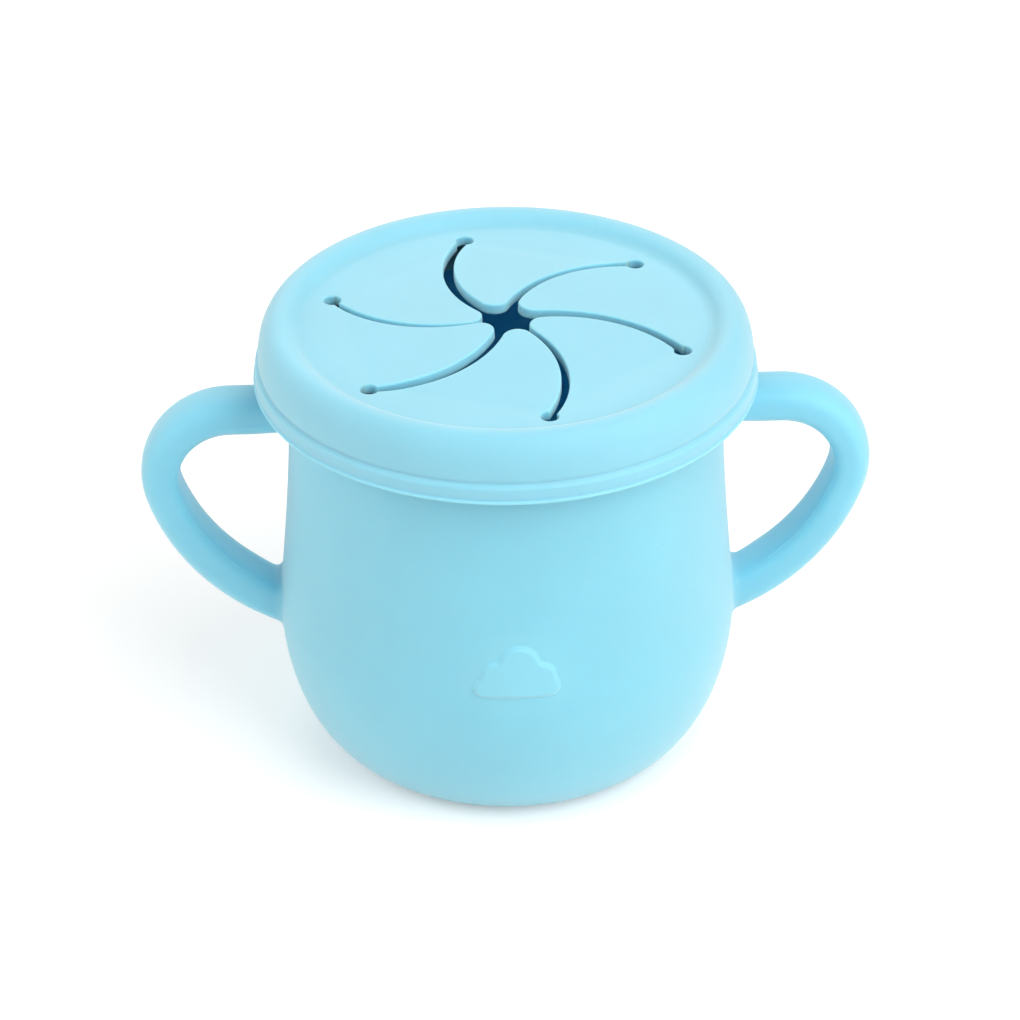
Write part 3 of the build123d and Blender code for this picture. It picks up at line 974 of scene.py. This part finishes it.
def remapped(material, value, low, high, start=0.0, end=1.0):
    """A value from start to end, turned into one from low to high."""
    nodes, links = material.node_tree.nodes, material.node_tree.links
    node = nodes.new("ShaderNodeMapRange")
    node.inputs["From Min"].default_value = start
    node.inputs["From Max"].default_value = end
    node.inputs["To Min"].default_value = low
    node.inputs["To Max"].default_value = high
    links.new(value, node.inputs["Value"])
    return node.outputs["Result"]


def clouded(material, clouding, tint):
    """The tint, a little darker and lighter with the clouding."""
    nodes, links = material.node_tree.nodes, material.node_tree.links
    tones = nodes.new("ShaderNodeValToRGB")
    for element, grey, change in zip(tones.color_ramp.elements, CLOUDING_RANGE,
                                     (1 - CLOUDING_DEPTH, 1 + CLOUDING_DEPTH)):
        element.position = grey
        element.color = [min(1, channel * change) for channel in tint] + [1]
    links.new(clouding, tones.inputs["Fac"])
    return tones.outputs["Color"]


def dusted(material, place, tones, speck_seed):
    """A few faint specks over the clouded tint; the seed moves them."""
    nodes, links = material.node_tree.nodes, material.node_tree.links
    moved = nodes.new("ShaderNodeMapping")
    moved.inputs["Location"].default_value = speck_seed
    links.new(place, moved.inputs["Vector"])
    dust = nodes.new("ShaderNodeTexVoronoi")
    dust.inputs["Scale"].default_value = DUST_SCALE
    links.new(moved.outputs["Vector"], dust.inputs["Vector"])
    mixed = nodes.new("ShaderNodeMix")
    mixed.data_type = "RGBA"
    share, clean, speck = mixed.inputs[0], mixed.inputs[6], mixed.inputs[7]
    speck.default_value = DUST_COLOUR
    links.new(remapped(material, dust.outputs["Distance"], DUST_COVER, 0.0, *DUST_RADII), share)
    links.new(tones, clean)
    return mixed.outputs[2]


def bumped(material, pattern, strength, height, under=None):
    """Normal with the relief of a pattern, over another relief's normal if one is given."""
    nodes, links = material.node_tree.nodes, material.node_tree.links
    bump = nodes.new("ShaderNodeBump")
    bump.inputs["Strength"].default_value = strength
    bump.inputs["Distance"].default_value = height
    links.new(pattern, bump.inputs["Height"])
    if under:
        links.new(under, bump.inputs["Normal"])
    return bump.outputs["Normal"]


def silicone(name, tint, depth, speck_seed):
    """Matte food-grade silicone: light enters a little, with a fine moulded grain, faint
    clouding and a few dust specks. Near a flap's root and round the ornament the light stays
    on the surface, so that the join of two pieces doesn't show.
    """
    material = bpy.data.materials.get(name)
    if material:
        return material
    material = bpy.data.materials.new(name)
    material.use_nodes = True
    nodes, links = material.node_tree.nodes, material.node_tree.links
    shader = nodes["Principled BSDF"]
    for socket, value in SILICONE.items():
        shader.inputs[socket].default_value = value
    shader.inputs["Subsurface Scale"].default_value = depth
    place = nodes.new("ShaderNodeTexCoord").outputs["Object"]

    on_surface = nodes.new("ShaderNodeAttribute")
    on_surface.attribute_name = SURFACE_LIGHT
    inside = remapped(material, on_surface.outputs["Fac"], 1.0, 0.0)
    links.new(inside, shader.inputs["Subsurface Weight"])

    clouding = noise(material, place, CLOUDING_SCALE, detail=3)
    tones = clouded(material, clouding, tint)
    links.new(dusted(material, place, tones, speck_seed), shader.inputs["Base Color"])
    links.new(remapped(material, clouding, *ROUGHNESS), shader.inputs["Roughness"])

    grain = noise(material, place, GRAIN_SCALE, detail=2)
    fine = bumped(material, grain, GRAIN_STRENGTH, GRAIN_HEIGHT)
    ripple = noise(material, place, RIPPLE_SCALE, detail=1)
    broad = bumped(material, ripple, RIPPLE_STRENGTH, RIPPLE_HEIGHT, fine)
    links.new(broad, shader.inputs["Normal"])
    return material


CUP_SPECKS = (0.3, 0.1, 0.2)    # moves each silicone's specks to places of their own
LID_SPECKS = (0.7, 0.5, 0.1)


def cup_silicone(context):
    """Silicone of the cup, its handles and the ornament."""
    finish = context.scene.snack_finish
    return silicone("soft_cup_silicone", finish.cup_colour, finish.cup_depth, CUP_SPECKS)


def lid_silicone(context):
    """Silicone of the lid and its flaps, which light enters less deeply. Its tint is the cup's
    silicone painted paler, as painted light for the brighter light on the lid's upward faces.
    """
    finish = context.scene.snack_finish
    return silicone("soft_lid_silicone", finish.lid_colour_painted_paler, finish.lid_depth, LID_SPECKS)


FLOOR_GLOW = 0.25            # lifts the floor to white in the picture, and lights nothing


def studio_floor(tint):
    """Pale floor that keeps the cup's shadow and shows white to the camera."""
    material = bpy.data.materials.new("studio_floor")
    material.use_nodes = True
    nodes, links = material.node_tree.nodes, material.node_tree.links
    nodes.clear()
    surface = nodes.new("ShaderNodeBsdfDiffuse")
    surface.inputs["Color"].default_value = (*tint, 1)
    glow = nodes.new("ShaderNodeEmission")
    glow.inputs["Strength"].default_value = FLOOR_GLOW
    ray = nodes.new("ShaderNodeLightPath")
    nothing = nodes.new("ShaderNodeEmission")
    nothing.inputs["Strength"].default_value = 0.0
    seen = nodes.new("ShaderNodeMixShader")
    both = nodes.new("ShaderNodeAddShader")
    output = nodes.new("ShaderNodeOutputMaterial")
    links.new(ray.outputs["Is Camera Ray"], seen.inputs[0])
    links.new(nothing.outputs[0], seen.inputs[1])
    links.new(glow.outputs[0], seen.inputs[2])
    links.new(surface.outputs[0], both.inputs[0])
    links.new(seen.outputs[0], both.inputs[1])
    links.new(both.outputs[0], output.inputs["Surface"])
    return material


# ================================================================= stage
# Soft lamps: name, degrees round the cup from the front, degrees above level, watts
LAMPS = (("key_lamp", 45, 35, 6.5), ("high_lamp", 70, 60, 3.4), ("left_lamp", -90, 30, 3.2),
         ("front_left_lamp", -45, 30, 1.3), ("back_lamp", 180, 35, 2.3))
LAMP_DISTANCE = 1.1
LAMP_WIDTH = 0.7
SURROUNDINGS_LIGHT = 0.45    # strength of the white world on the cup; the camera sees 1


def way_to(turn, rise):
    """Direction from the cup to a place that is turned from the front and raised above level."""
    return Vector((sin(turn) * cos(rise), -cos(turn) * cos(rise), sin(rise)))


def add_lamp(stage, name, turn, rise, watts):
    """Soft square lamp that shines at the cup's middle."""
    lamp = bpy.data.lights.new(name, "AREA")
    lamp.shape = "SQUARE"
    lamp.size = LAMP_WIDTH
    lamp.energy = watts
    lamp_object = bpy.data.objects.new(name, lamp)
    bpy.context.scene.collection.objects.link(lamp_object)
    away = way_to(turn, rise) * LAMP_DISTANCE
    facing = away.to_track_quat("Z", "Y").to_matrix().to_4x4()
    lamp_object.matrix_world = Matrix.Translation(Vector((0, 0, stage.aim_height)) + away) @ facing


SENSOR_WIDTH = 36            # millimetres, as the lens is given


class StageSizes(PropertyGroup):
    camera_turn: angle("Camera turn", -2.25, "Camera's place round the cup, from the front")
    camera_rise: angle("Camera rise", 32.63, "Camera's height above level")
    camera_roll: angle("Camera roll", -0.33, "Camera's tilt")
    camera_distance: size("Camera distance", 0.6998, "From the cup's middle")
    aim_height: size("Aim height", 0.04, "Height on the axis that the camera and lamps turn about")
    lens: FloatProperty(name="Lens", default=134.72, description="Focal length in millimetres")
    shift_right: FloatProperty(name="Shift right", default=0.0032, description="Share of width")
    shift_up: FloatProperty(name="Shift up", default=0.0210, description="Share of width")
    floor_reach: size("Floor reach", 3.0, "Half the floor's width")


def add_camera(stage):
    """Camera at the photograph's angle, with its framing."""
    back = way_to(stage.camera_turn, stage.camera_rise)
    position = Vector((0, 0, stage.aim_height)) + back * stage.camera_distance
    right = Vector((0, 0, 1)).cross(back).normalized()
    up = back.cross(right)
    tilted = Matrix.Rotation(stage.camera_roll, 3, back)
    rotation = Matrix((tilted @ right, tilted @ up, back)).transposed()
    camera = bpy.data.cameras.new("photo_camera")
    camera.lens = stage.lens
    camera.sensor_width = SENSOR_WIDTH
    camera.shift_x, camera.shift_y = stage.shift_right, stage.shift_up
    camera_object = bpy.data.objects.new("photo_camera", camera)
    bpy.context.scene.collection.objects.link(camera_object)
    camera_object.matrix_world = Matrix.Translation(position) @ rotation.to_4x4()
    bpy.context.scene.camera = camera_object


def add_floor(stage, tint):
    """Flat floor under the cup, which isn't part of it."""
    mesh = bmesh.new()
    bmesh.ops.create_grid(mesh, x_segments=1, y_segments=1, size=stage.floor_reach)
    data = bpy.data.meshes.new("floor")
    mesh.to_mesh(data)
    mesh.free()
    data.materials.append(studio_floor(tint))
    floor = bpy.data.objects.new("floor", data)
    bpy.context.scene.collection.objects.link(floor)


def add_world():
    """Even white surroundings; the camera sees them as plain white."""
    world = bpy.data.worlds.new("studio")
    bpy.context.scene.world = world
    world.use_nodes = True
    nodes, links = world.node_tree.nodes, world.node_tree.links
    background = nodes["Background"]
    background.inputs["Color"].default_value = (1, 1, 1, 1)
    background.inputs["Strength"].default_value = SURROUNDINGS_LIGHT
    white = nodes.new("ShaderNodeBackground")
    white.inputs["Strength"].default_value = 1.0
    ray = nodes.new("ShaderNodeLightPath")
    seen = nodes.new("ShaderNodeMixShader")
    links.new(ray.outputs["Is Camera Ray"], seen.inputs[0])
    links.new(background.outputs[0], seen.inputs[1])
    links.new(white.outputs[0], seen.inputs[2])
    links.new(seen.outputs[0], nodes["World Output"].inputs["Surface"])


# ================================================================= operators
class SNACK_OT_add_stage(Operator):
    """Camera, lamps, surroundings and floor"""
    bl_idname = "snack.add_stage"
    bl_label = "Add Stage"

    def execute(self, context):
        scene = context.scene
        scene.view_settings.view_transform = "Standard"
        add_camera(scene.snack_stage)
        add_world()
        add_floor(scene.snack_stage, scene.snack_finish.floor_colour)
        for name, turn, rise, watts in LAMPS:
            add_lamp(scene.snack_stage, name, radians(turn), radians(rise), watts)
        return {"FINISHED"}


class SNACK_OT_add_cup(Operator):
    """Cup with its two handles, one soft moulding"""
    bl_idname = "snack.add_cup"
    bl_label = "Add Cup"

    def execute(self, context):
        scene = context.scene
        mesh = build_cup(scene.snack_cup, scene.snack_handle)
        mark_cloud_place(mesh, scene.snack_cup, scene.snack_ornament)
        piece = finish_piece("cup_with_handles", mesh, cup_silicone(context))
        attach(piece, "cup")
        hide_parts("cup", "handle_left", "handle_right")
        return {"FINISHED"}


class SNACK_OT_add_ornament(Operator):
    """Raised cloud on the front of the cup"""
    bl_idname = "snack.add_ornament"
    bl_label = "Add Ornament"

    def execute(self, context):
        scene = context.scene
        mesh = build_ornament(scene.snack_cup, scene.snack_ornament)
        piece = finish_piece("front_cloud", mesh, cup_silicone(context))
        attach(piece, "cup")
        return {"FINISHED"}


class SNACK_OT_add_lid(Operator):
    """Lid without its flaps"""
    bl_idname = "snack.add_lid"
    bl_label = "Add Lid"

    def execute(self, context):
        scene = context.scene
        mesh = build_lid(scene.snack_cup, scene.snack_lid, scene.snack_flaps)
        piece = finish_piece("lid_shell", mesh, lid_silicone(context))
        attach(piece, "lid")
        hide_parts("lid")
        return {"FINISHED"}


class SNACK_OT_add_flaps(Operator):
    """Six finger flaps that bend at their roots"""
    bl_idname = "snack.add_flaps"
    bl_label = "Add Flaps"

    def execute(self, context):
        scene = context.scene
        lid, flaps = scene.snack_lid, scene.snack_flaps
        for index, hinge in enumerate(FLAP_HINGES):
            body = hinge["child"]
            mesh = build_flap(lid, flaps, index)
            piece = finish_piece("finger_" + body, mesh, lid_silicone(context))
            out = level_way(FLAP_ANGLES[index]).to_3d()
            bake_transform(piece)
            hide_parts(body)
        return {"FINISHED"}


class SNACK_PT_panel(Panel):
    """Steps of the snack cup, in order"""
    bl_idname = "SNACK_PT_panel"
    bl_label = "Snack Cup"
    bl_space_type = "VIEW_3D"
    bl_region_type = "UI"
    bl_category = "Snack Cup"

    def draw(self, context):
        for operator in OPERATORS:
            self.layout.operator(operator.bl_idname)
        for group in PROPERTY_GROUPS:
            sizes = getattr(context.scene, group)
            box = self.layout.box()
            for name in sizes.bl_rna.properties.keys():
                if name not in ("rna_type", "name"):
                    box.prop(sizes, name)


OPERATORS = (SNACK_OT_add_stage, SNACK_OT_add_cup, SNACK_OT_add_ornament, SNACK_OT_add_lid,
             SNACK_OT_add_flaps)
PROPERTY_GROUPS = {"snack_cup": CupSizes, "snack_handle": HandleSizes,
                   "snack_ornament": OrnamentSizes, "snack_lid": LidSizes,
                   "snack_flaps": FlapSizes, "snack_finish": Finish, "snack_stage": StageSizes}


def register():
    for name, group in PROPERTY_GROUPS.items():
        bpy.utils.register_class(group)
        setattr(bpy.types.Scene, name, PointerProperty(type=group))
    for operator in OPERATORS:
        bpy.utils.register_class(operator)
    bpy.utils.register_class(SNACK_PT_panel)


def unregister():
    bpy.utils.unregister_class(SNACK_PT_panel)
    for operator in reversed(OPERATORS):
        bpy.utils.unregister_class(operator)
    for name, group in PROPERTY_GROUPS.items():
        delattr(bpy.types.Scene, name)
        bpy.utils.unregister_class(group)


def main():
    register()
    bpy.ops.snack.add_stage()
    bpy.ops.snack.add_cup()
    bpy.ops.snack.add_ornament()
    bpy.ops.snack.add_lid()
    bpy.ops.snack.add_flaps()


if __name__ == "__main__":
    main()
